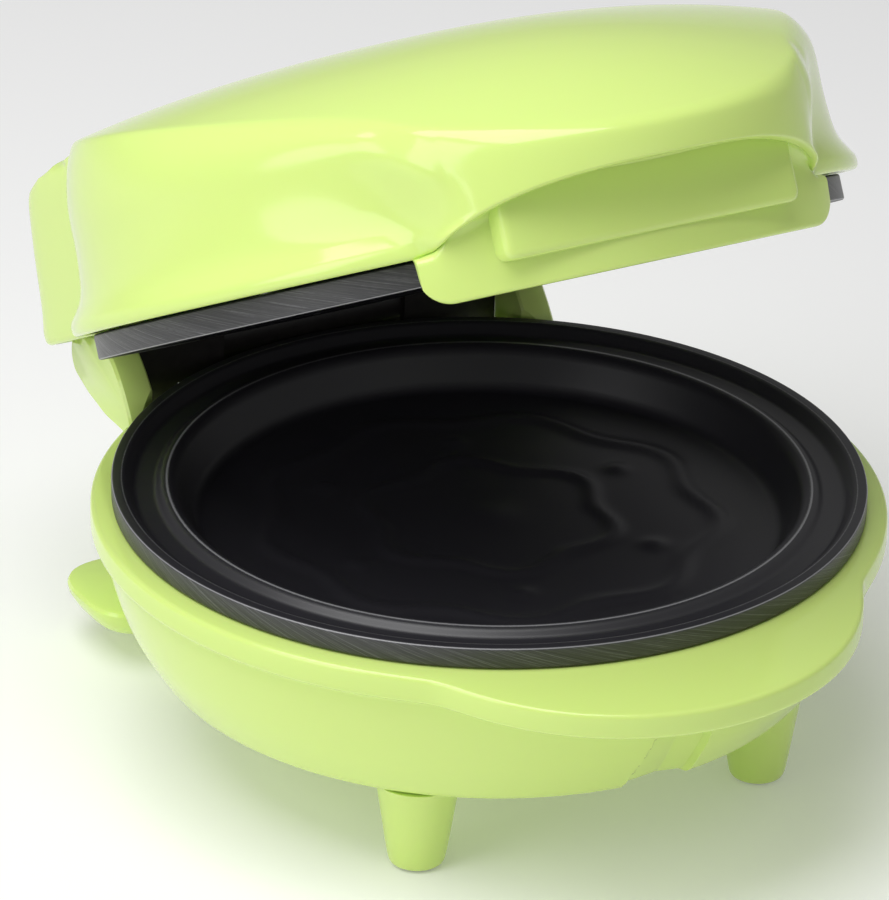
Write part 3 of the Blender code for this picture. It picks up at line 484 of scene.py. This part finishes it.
def build_base():
    shell = base_shell()
    for side in (-1, 1):
        shell = boolean(shell, ear(side), "UNION")
    tool = bmesh.new()
    lathe(tool, [(0, FLANGE_TOP), (86.6, FLANGE_TOP), (86.6, 30), (0, 30)], 160)
    shell = boolean(shell, tool, "DIFFERENCE")
    hole = bmesh.new()
    end = EAR_OUT - PIN_SKIN
    lathe(hole, [(0, -end), (PIN_HOLE_R, -end), (PIN_HOLE_R, end), (0, end)], 32)
    hole.transform(Matrix.Translation((0, HINGE_Y, HINGE_Z)) @ Matrix.Rotation(math.pi / 2, 4, "Y"))
    shell = boolean(shell, hole, "DIFFERENCE")
    piece("base_shell", shell, "base", LIME, ["base_housing"], sharp=30)


# ---- lid shell ----------------------------------------------------------------------------------
def bulge(psi):
    inner = NOSE * (1 - (psi / NOSE_ANGLE) ** 2)
    outer = NOSE_END * math.exp((RIDGE_ANGLE - abs(psi)) / NOSE_FADE)
    return mix(inner, outer, smooth(RIDGE_ANGLE - 4, RIDGE_ANGLE + 5, abs(psi)))


def crown_z(psi, radius):
    reach = CREASE_R + NOSE * math.exp(-(psi / 45) ** 2)
    drop = LID_TOP - CREASE_REAR_Z + CREASE_DROP * math.exp(-(psi / CREASE_SPREAD) ** 2)
    return LID_TOP - drop * (radius / reach) ** 2.5


def crease(psi):
    radius = CREASE_R + bulge(psi)
    back = -math.cos(math.radians(psi))
    if back > 0:
        across = (BLOCK_HALF - 1.4) / max(0.3, abs(math.sin(math.radians(psi))))
        over = radius - across
        radius = min(0.5 * (radius + across + math.sqrt(over * over + 4.0)), LID_REAR_Y / back)
    return radius, crown_z(psi, radius)


def box_radius(psi, half_width, rear_y, power):
    a = math.radians(psi)
    if math.cos(a) > -0.3:
        return 0.0
    return ((abs(math.sin(a)) / half_width) ** power + (abs(math.cos(a)) / rear_y) ** power) ** (-1 / power)


def chamfer_z(y):
    return CREASE_REAR_Z - (CREASE_REAR_Z - BLOCK_TOP_Z) / (BLOCK_TOP_Y - LID_REAR_Y) * max(0.0, y - LID_REAR_Y)


def eave_z(psi):
    return max(7.6, 17.4 - 7.7 * (abs(psi) / 28.7) ** 3)


def skirt_bottom(psi):
    along = (SKIRT_END - abs(psi)) * 1.6
    if along >= SKIRT_CORNER:
        return SKIRT_BOTTOM
    inward = SKIRT_CORNER - max(0.0, along)
    return SKIRT_BOTTOM + SKIRT_CORNER - math.sqrt(SKIRT_CORNER ** 2 - inward ** 2)


def lid_profile(psi):
    """Outer and inner corners of the lid's wall at an angle, from the crease down and back up."""
    r0, z0 = crease(psi)
    swell = bulge(psi)
    upper = 1 - smooth(24, 39, abs(psi))
    under_eave = 1 - smooth(27.5, 34.5, abs(psi))
    skirt = 1 - smooth(SKIRT_END - 0.6, SKIRT_END + 0.3, abs(psi))
    eave = eave_z(psi)
    band = 6 + 8 * smooth(40, 100, abs(psi)) - 9.5 * smooth(126, 137, abs(psi))
    turn = abs(math.cos(math.radians(psi)))

    def side(radius, z, setback, rear, inset, share=0.0, power=22):
        radius += swell * share
        rear_y = mix(BLOCK_TOP_Y, BLOCK_Y, rear) - inset
        block = box_radius(psi, BLOCK_HALF - inset, rear_y, power)
        if block > radius:
            return block, min(z, chamfer_z(block * turn) - 0.4), setback
        return radius, min(z, z0 - 0.4), setback

    outer_side = [side(mix(r0, 85.0 + 0.9 * swell, 0.55), z0 - 0.36 * band, 3.5, 0, 1.6),
                  side(85.0, z0 - band, 5.0, 0.2, 0.6, 0.9),
                  side(84.9, mix(z0 - band, 16.0, 0.55), 5.0, 0.5, 0.3, 0.6),
                  side(85.9, 15.0, 3.5, 0.75, 0.1, 0.3), side(88.3, 11.3, 1.8, 0.9, 0, 0.1),
                  side(89.65, 9.4, 1.6, 1, 0), side(89.5, 7.2, 0.8, 1, 0.2),
                  side(88.7, LID_BOTTOM, 0.4, 1, 1.0), side(88.3, LID_BOTTOM, 0.1, 1, 1.3),
                  side(87.9, LID_BOTTOM, 0.1, 1, 1.6),
                  side(87.5, LID_BOTTOM, 0.1, 1, 1.9)]
    zb = skirt_bottom(psi)
    outer_front = [(r0 + 1.4, mix(z0, eave, 0.20), 3.0), (r0 + 1.5, mix(z0, eave, 0.42), 4.0),
                   (r0 + 1.4, mix(z0, eave, 0.62), 4.0), (r0 + 1.25, mix(z0, eave, 0.80), 2.0),
                   (r0 + 1.1, mix(z0, eave, 0.93), 0.6), (r0 + 1.0, eave + 0.1, 0.9),
                   (r0 - 0.9, eave - 0.3, 0.7),
                   (min(95.0, r0 - 2.2), eave + 0.9, 1.0), (SKIRT_R + 0.5, eave - 1.2, 1.6),
                   (SKIRT_R, zb + 0.1, 0.8), (SKIRT_R - 1.4, zb - 0.1, 0.6)]
    blends = [upper] * 5 + [under_eave] * 3 + [skirt] * 3
    inner_side = [side(86.6, LID_BOTTOM, 0.5, 1, WALL, 0, 34), side(84.2, 13, 2.0, 0.8, WALL, 0.2, 34),
                  side(82.9, 20, 2.0, 0.6, WALL, 0.45, 34),
                  side(82.0, z0 - band, 2.0, 0.3, WALL + 0.4, 0.7, 34),
                  side(80.6, z0 - 6.8, 2.0, 0, WALL + 1.2, 0.9, 34)]
    under = -2.6 if math.cos(math.radians(psi)) < 0 else 0.0
    inner_side = [(r, min(z, chamfer_z(r * turn) + under), b) for r, z, b in inner_side]
    inner_front = [(SKIRT_R - 2.8, zb, 0.6), (SKIRT_R - 2.4, 6.5, 1.0), (89.4, eave - 1.2, 0.8),
                   (min(92.2, r0 - 3), eave + 3.0, 0.8), (r0 - 2.4, mix(z0, eave + 3.4, 0.8), 1.0)]

    def join(sides, fronts, weights):
        return [tuple(mix(a, b, t) for a, b in zip(s, g)) for s, g, t in zip(sides, fronts, weights)]

    inner_blends = [skirt] + [under_eave] * 4
    return (r0, z0), join(outer_side, outer_front, blends), join(inner_side, inner_front, inner_blends)


def lid_angles():
    fine = [i * 1.0 for i in range(-180, 180)]
    fine += [s * (26.0 + 0.2 * i) for i in range(60) for s in (-1, 1)]
    fine += [s * (130.0 + 0.3 * i) for i in range(90) for s in (-1, 1)]
    return sorted(set(round(a, 3) for a in fine))


def lid_shell():
    angles = lid_angles()
    profiles = []
    domes = 30
    for psi in angles:
        (r0, z0), outer, inner = lid_profile(psi)
        shares = [0.03 + 0.94 * (i / (domes - 1)) ** 0.8 for i in range(domes)]
        dome = [Vector((r0 * s, crown_z(psi, r0 * s))) for s in shares]
        last = dome[-1]
        wall = fillet([(last.x, last.y, 0), (r0, z0, 1.6)] + outer + inner[:-1] + [(*inner[-1][:2], 0)], 4)
        under = [Vector((r0 * s - 2.0, crown_z(psi, r0 * s) - WALL * (1 + 0.35 * s ** 3)))
                 for s in (0.93, 0.6, 0.3)]
        profiles.append(dome + wall[1:] + under)
    rings = [[Vector((0, 0, LID_TOP))]]
    for k in range(len(profiles[0])):
        rings.append([at(psi, *profile[k]) for psi, profile in zip(angles, profiles)])
    rings.append([Vector((0, 0, LID_TOP - WALL))])
    bm = bmesh.new()
    skin(bm, rings)
    return bm


def knuckle(side):
    rim = [(HINGE_Y + KNUCKLE_R * math.cos(math.radians(a)), HINGE_Z + KNUCKLE_R * math.sin(math.radians(a)), 1.0)
           for a in range(-180, 5, 12)]
    rim += [(99.8, 12.0, 2.0), (98.0, 25.0, 0.5), (89.0, 25.0, 0.5), (85.0, 12.0, 2.0)]
    outline = fillet(rim, 2, closed=True)
    bm = bmesh.new()
    rings = []
    middle = Vector((92.0, 8.0))
    for x, inset in ((KNUCKLE_IN, 0.7), (KNUCKLE_IN + 0.5, 0.2), (KNUCKLE_IN + 1.0, 0.0),
                     (KNUCKLE_OUT - 0.9, 0.0),
                     (KNUCKLE_OUT - 0.3, 0.2), (KNUCKLE_OUT, 0.7)):
        rings.append([Vector((side * x, *(p + (middle - p).normalized() * inset))) for p in outline])
    capped(bm, rings)
    return bm


def grip_block():
    """Raised rounded panel behind the eave, which the fingertips press."""
    half, low, high, front, back = 36.0, 2.0, 19.5, 93.0, 90.0
    mid, tall = (low + high) / 2, (high - low) / 2
    bm = bmesh.new()
    outline = rounded(half, tall, 2.6, (0, mid), 6)
    rings = []
    for inset, depth in ((0.0, 10.0), (0.0, 1.6), (0.12, 0.9), (0.5, 0.35), (1.1, 0.06), (1.9, 0.0)):
        rings.append([Vector((p.x * (1 - inset / half), depth, mid + (p.y - mid) * (1 - inset / tall)))
                      for p in outline])
    capped(bm, rings)
    for k in range(-17, 18):
        bmesh.ops.bisect_plane(bm, geom=bm.verts[:] + bm.edges[:] + bm.faces[:], plane_co=(2.0 * k, 0, 0),
                               plane_no=(1, 0, 0))
    for vert in bm.verts:
        x = vert.co.x
        if vert.co.y > 5:
            vert.co.y = -math.sqrt(back ** 2 - x * x)
        else:
            vert.co.y += 3.0 * (x / half) ** 2 - front
    return bm


# ---- plates, cover, stand, pads and small parts -------------------------------------------------
def relief(x, y):
    """Shallow generic pattern on the cavity floor: two wavy ring lines and a few dimples."""
    r, a = math.hypot(x, y), math.atan2(y, x)
    height = 0.0
    for ring, waves, deep in ((50.0, 9, 2.2), (27.0, 6, 2.0)):
        off = (r - ring - 2.2 * math.sin(waves * a)) / deep
        height += 0.8 * math.exp(-off * off)
    for k in range(6):
        dx, dy = around(39.0, 60 * k + 12)
        height += 0.8 * math.exp(-((x - dx) ** 2 + (y - dy) ** 2) / 7.0)
    return height + 0.8 * math.exp(-r * r / 40.0)


def plate(name, rim_h, rim_drop, body, screws):
    """Cast plate with a fine rim, ledge, ridge, cavity with shallow relief, back, boss and posts."""
    sign = 1 if body == "lid" else -1
    corners = [(66.0, 10.5, 2.5), (70.2, 2.0, 1.4), (71.8, 0.85, 0.7), (73.6, 1.0, 0.9), (75.2, 2.7, 0.8),
               (79.8, 2.9, 0.8), (82.0, rim_drop + 0.3, 0.6), (82.8, rim_drop, 0.4), (84.7, rim_drop, 0.25),
               (85.0, rim_drop + 0.35, 0.2), (85.0, rim_h - 0.35, 0.3), (84.7, rim_h, 0.3),
               (74.0, rim_h + 0.2, 0.8), (72.6, 11.5, 1.5), (70.4, 13.5, 0.8), (20.0, 13.5, 0)]
    section = fillet([(63.0, 10.5, 0)] + corners, 4)
    profile = [(r, sign * z) for r, z in section]
    floor = [(0.0, sign * 10.5)] + [(1.2 * i, sign * 10.5) for i in range(1, 53)]
    bm = bmesh.new()
    lathe(bm, floor + profile + [(0.0, sign * 13.5)], 200)
    for vert in bm.verts:
        x, y, z = vert.co
        if math.hypot(x, y) < 63.1 and abs(z) < 11:
            vert.co.z += -sign * relief(x, y)
    posts = [(0.0, 0.0, 6.0, 20.2)] + [(*around(60.0, a), 4.6, 26.7) for a in POST_ANGLES]
    for x, y, radius, end in posts:
        tool = bmesh.new()
        lathe(tool, [(0, sign * 12.5), (radius + 0.5, sign * 12.5), (radius, sign * 16.0),
                     (radius, sign * (end - 0.4)), (radius - 0.4, sign * end), (0, sign * end)], 40, (x, y))
        bm = boolean(bm, tool, "UNION")
    holes = [(x, y, [(0, 15.2), (2.1, 15.2), (2.1, 34), (0, 34)]) for x, y, _, _ in posts]
    if screws:
        countersunk = [(0, -2), (3.7, -2), (3.7, 3.2), (2.2, 4.7), (2.2, 12), (0, 12)]
        holes += [(*around(SCREW_RING, a), countersunk) for a in POST_ANGLES]
    for x, y, hole in holes:
        tool = bmesh.new()
        lathe(tool, [(r, sign * z) for r, z in hole], 32, (x, y))
        bm = boolean(bm, tool, "DIFFERENCE")

    # Mask for the coating: 0.5 on the rim's outer side for machined streaks; higher values on thin lines at the
    # ridge and the rim edges, where the coating paints a highlight.
    def marks(co):
        r, z = math.hypot(co.x, co.y), abs(co.z)
        if r > 84.9 and rim_drop + 0.3 < z < rim_h - 0.3:
            return 0.5
        edge = max(math.exp(-((r - 72.6) / 0.5) ** 2) * (z < 1.6),
                   math.exp(-((r - 84.85) / 0.16) ** 2) * (z < rim_drop + 0.4),
                   0.7 * math.exp(-((r - 82.7) / 0.3) ** 2) * (z < rim_drop + 0.4))
        return 0.30 + 0.65 * edge if edge > 0.35 else 0.0

    piece(name + "_fine", bm, body, COATING, [name], sharp=42, marks=marks)


def cone_foot(bm, x, y):
    profile = [(0, BASE_BOTTOM - 0.4, 0), (9.9, BASE_BOTTOM - 0.4, 0.3), (9.3, BASE_BOTTOM - 1.6, 1.4),
               (6.7, -61.2, 3.0), (6.1, -63.8, 1.5), (4.6, -63.8, 0.2), (4.6, -62.6, 0.1), (0, -62.6, 0)]
    lathe(bm, fillet(profile, 4), 64, (x, y))


def bottom_cover():
    bm = bmesh.new()
    lathe(bm, fillet([(0, -40.1, 0), (71.6, -40.1, 0.6), (71.8, -43.1, 0.7), (0, -43.1, 0)], 4), 160)
    for x, y in FEET:
        tool = bmesh.new()
        cone_foot(tool, x, y)
        bm = boolean(bm, tool, "UNION")
    slot = bmesh.new()
    outline = rounded(9.0, 6.0, 1.0, (0, -74.4), 4)
    rings = [[Vector((p.x, p.y, z)) for p in outline] for z in (-46.0, -38.0)]
    capped(slot, rings)
    bm = boolean(bm, slot, "DIFFERENCE")
    for a in COVER_ANGLES:
        tool = bmesh.new()
        lathe(tool, [(0, -48), (2.2, -48), (2.2, -36), (0, -36)], 32, around(COVER_RING, a))
        bm = boolean(bm, tool, "DIFFERENCE")
    piece("bottom_cover_fine", bm, "base", LIME, ["bottom_cover"], sharp=30)


def rear_stand():
    """Soft-edged plate under the rear on two waisted necks."""
    low, top, middle, half, deep = -57.0, -49.0, 74.5, 66.0, 15.5
    bm = bmesh.new()
    rings = []
    for z, inset in ((low, 5.6), (low + 0.25, 4.6), (low + 1.0, 3.4), (low + 2.4, 2.0), (top - 2.6, 0.2),
                     (top - 1.2, 0.0), (top - 0.4, 0.4), (top, 1.4)):
        outline = rounded(half - inset, deep - inset, 13.0 - inset, (0, middle), 10)
        rings.append([Vector((p.x, p.y, z)) for p in outline])
    capped(bm, rings)
    for side in (-1, 1):
        neck = bmesh.new()
        profile = [(0, top - 1.5, 0), (8.6, top - 1.5, 0.2), (8.2, top + 0.4, 1.2), (6.8, top + 2.6, 1.2),
                   (7.4, -43.6, 0.4), (0, -43.5, 0)]
        lathe(neck, fillet(profile, 4), 48, (side * 22.0, 64.5))
        bm = boolean(bm, neck, "UNION")
    piece("rear_stand_fine", bm, "base", LIME, ["rear_stand"], sharp=30)


def foot_pads():
    for number, (x, y) in enumerate(FEET, 1):
        bm = bmesh.new()
        profile = [(0, -62.9, 0), (4.3, -62.9, 0.2), (4.3, -64.2, 0.35), (3.4, -64.2, 0.2), (3.1, -64.0, 0.1),
                   (0, -64.0, 0)]
        lathe(bm, fillet(profile, 3), 48, (x, y))
        piece(f"foot_pad_{number}_fine", bm, "base", RUBBER, [f"foot_pad_{number}"], sharp=50)


def cross_screw(name, x, y, seat, away, length, body, sunk=False):
    """Screw with a cross recess in its pan or countersunk head; away is the side its head is on."""
    bm = bmesh.new()
    if sunk:
        head = [(0, -0.15, 0), (3.1, -0.15, 0.2), (3.2, 0.1, 0.1), (1.9, 1.5, 0.2)]
    else:
        head = [(0, -2.3, 0), (2.4, -2.2, 0.8), (3.7, -1.1, 0.8), (3.7, 0.0, 0.15), (1.9, 0.0, 0.1)]
    profile = fillet(head + [(1.9, length, 0.3), (0, length, 0)], 3)
    lathe(bm, [(r, seat - away * z) for r, z in profile], 40, (x, y))
    top = -0.15 if sunk else -2.3
    for turn in (35, 125):
        slot = bmesh.new()
        outline = rounded(1.9, 0.36, 0.2, (0, 0), 3)
        rings = [[Vector((p.x, p.y, seat - away * z)) for p in outline] for z in (top - 1.0, top + 1.1)]
        capped(slot, rings)
        slot.transform(Matrix.Translation((x, y, 0)) @ Matrix.Rotation(math.radians(turn), 4, "Z"))
        bm = boolean(bm, slot, "DIFFERENCE")
    piece(name + "_fine", bm, body, STEEL, [name], sharp=35)


def hinge_guard():
    """Curved black strip between the knuckles, with flat wings before them and a foot on the flange."""
    def ring_points(radius, start, end):
        return [(HINGE_Y + radius * math.cos(math.radians(start + (end - start) * i / 40)),
                 HINGE_Z + radius * math.sin(math.radians(start + (end - start) * i / 40))) for i in range(41)]

    outline = ring_points(GUARD_R, GUARD_START, GUARD_END) + ring_points(GUARD_INNER_R, GUARD_END, GUARD_START)
    bm = bmesh.new()
    rings = []
    edge = GUARD_HALF - 0.3
    for x, inset in ((-GUARD_HALF, 0.3), (-edge, 0.0), (edge, 0.0), (GUARD_HALF, 0.3)):
        ring = []
        for y, z in outline:
            out = Vector((y - HINGE_Y, z - HINGE_Z))
            shift = out.normalized() * (inset if out.length < 6 else -inset)
            ring.append(Vector((x, y + shift.x, z + shift.y)))
        rings.append(ring)
    capped(bm, rings)
    foot = bmesh.new()
    outline = rounded(25.0, 0.9, 0.4, (0, 87.2), 4)
    capped(foot, [[Vector((p.x, p.y, z)) for p in outline] for z in (-4.9, -1.2)])
    bm = boolean(bm, foot, "UNION")
    for near, far, rear, low in ((24.0, 36.5, 85.9, -4.9), (30.0, 48.4, 84.7, -4.9), (36.0, 48.4, 84.7, -12.0)):
        for side in (-1, 1):
            wing = bmesh.new()
            centre = (side * (near + far) / 2, (GUARD_WING_Z + low) / 2)
            outline = rounded((far - near) / 2, (GUARD_WING_Z - low) / 2, 0.8, centre, 4)
            capped(wing, [[Vector((p.x, y, p.y)) for p in outline] for y in (83.6, rear)])
            bm = boolean(bm, wing, "UNION")
    piece("hinge_guard_fine", bm, "base", BAKELITE, ["hinge_guard"], sharp=35)


def small_parts():
    for number, a in enumerate(POST_ANGLES, 1):
        cross_screw(f"upper_plate_screw_{number}", *around(SCREW_RING, a), 3.1, -1, 13.5, "lid", sunk=True)
    for number, a in enumerate(COVER_ANGLES, 1):
        cross_screw(f"cover_screw_{number}", *around(COVER_RING, a), -43.4, -1, 7.8, "base")
    foot_pads()
    hinge_guard()


def build_lid():
    shell = lid_shell()
    for side in (-1, 1):
        shell = boolean(shell, knuckle(side), "UNION")
    for a, far in zip(POST_ANGLES, (98.4, 84.4, 84.4)):
        arm = bmesh.new()
        outline = [(SCREW_RING + 6 * math.cos(math.radians(b)), 6 * math.sin(math.radians(b)))
                   for b in range(90, 271, 15)]
        outline += [(far, -6), (far, 6)]
        capped(arm, [[Vector((u, v, z)) for u, v in outline] for z in (17.0, 21.0)])
        arm.transform(Matrix.Rotation(math.radians(a), 4, "Z"))
        shell = boolean(shell, arm, "UNION")
        boss = bmesh.new()
        lathe(boss, [(0, 6.7), (4.2, 6.7), (4.4, 7.2), (4.4, 19.8), (0, 19.8)], 40, around(SCREW_RING, a))
        shell = boolean(shell, boss, "UNION")
        bore = bmesh.new()
        lathe(bore, [(0, 5), (2.2, 5), (2.2, 18.5), (0, 18.5)], 32, around(SCREW_RING, a))
        shell = boolean(shell, bore, "DIFFERENCE")
    hole = bmesh.new()
    lathe(hole, [(0, -52), (PIN_HOLE_R, -52), (PIN_HOLE_R, 52), (0, 52)], 32)
    hole.transform(Matrix.Translation((0, HINGE_Y, HINGE_Z)) @ Matrix.Rotation(math.pi / 2, 4, "Y"))
    shell = boolean(shell, hole, "DIFFERENCE")
    piece("lid_shell", shell, "lid", LIME, ["lid_housing"], sharp=30)
    piece("lid_grip_block", grip_block(), "lid", LIME, sharp=30)


build_base()
build_lid()
plate("lower_baking_plate", 4.9, 0.0, "base", False)
plate("upper_baking_plate", 6.35, 0.5, "lid", True)
bottom_cover()
rear_stand()
small_parts()

FINISHES = {
    "lime_shell": LIME, "plate_coating": COATING, "element_sheath": SHEATH, "steel": STEEL, "shield": ALUMINIUM,
    "rubber": RUBBER, "ceramic": CERAMIC, "bakelite": BAKELITE, "sleeve": SLEEVE,
}
for part in frame["record"]["subparts"]:
    mesh = frame["nodes"][part["node"]].data
    mesh.materials.clear()
    mesh.materials.append(FINISHES[part["material_slot"]])

# ---- floor, light and camera --------------------------------------------------------------------
def area_light(name, place, aim, size, size_y, power):
    data = bpy.data.lights.new(name, "AREA")
    data.shape = "RECTANGLE"
    data.size = size
    data.size_y = size_y
    data.energy = power
    obj = bpy.data.objects.new(name, data)
    obj.location = place
    obj.rotation_euler = (Vector(aim) - Vector(place)).to_track_quat("-Z", "Y").to_euler()
    bpy.context.scene.collection.objects.link(obj)


def stage():
    bm = bmesh.new()
    bmesh.ops.create_grid(bm, x_segments=1, y_segments=1, size=6.0)
    mesh = bpy.data.meshes.new("floor")
    bm.to_mesh(mesh)
    bm.free()
    floor = bpy.data.objects.new("floor", mesh)
    floor.location = (0, 0, -0.0002)
    bpy.context.scene.collection.objects.link(floor)
    f = Finish("pale_floor")
    f.set(Base_Color=rgb(0.86, 0.86, 0.86), Roughness=0.95, Emission_Color=rgb(1, 1, 1),
          Emission_Strength=0.15)
    mesh.materials.append(f.material)

    world = bpy.data.worlds.new("studio")
    world.use_nodes = True
    bpy.context.scene.world = world
    back = world.node_tree.nodes["Background"]
    back.inputs["Color"].default_value = (1, 1, 1, 1)
    back.inputs["Strength"].default_value = 0.27

    area_light("overhead_softbox", (-0.32, -0.06, 1.0), (0, 0, 0.08), 0.8, 0.8, 8.0)
    area_light("left_softbox", (-1.0, -0.20, 0.55), (0, -0.02, 0.09), 0.5, 0.7, 2.6)
    area_light("front_fill", (0.1, -1.2, 0.35), (0, 0, 0.09), 0.7, 0.4, 0.2)
    bpy.context.scene.view_settings.view_transform = "Standard"


def camera():
    azimuth, elevation, roll = math.radians(-29.5), math.radians(25.84), math.radians(1.18)
    distance = 1.545
    back = Vector((math.sin(azimuth) * math.cos(elevation), -math.cos(azimuth) * math.cos(elevation),
                   math.sin(elevation)))
    right = Vector((math.cos(azimuth), math.sin(azimuth), 0))
    up = back.cross(right)
    right_rolled = right * math.cos(roll) + up * math.sin(roll)
    up_rolled = up * math.cos(roll) - right * math.sin(roll)
    data = bpy.data.cameras.new("camera")
    data.lens = 272.9
    data.sensor_width = 36.0
    data.clip_end = 20
    obj = bpy.data.objects.new("camera", data)
    turn = Matrix((right_rolled, up_rolled, back)).transposed().to_4x4()
    target = CENTRE + Vector((-0.003, 0.0155, 0))
    obj.matrix_world = Matrix.Translation(target + back * distance) @ turn
    bpy.context.scene.collection.objects.link(obj)
    bpy.context.scene.camera = obj


stage()
camera()
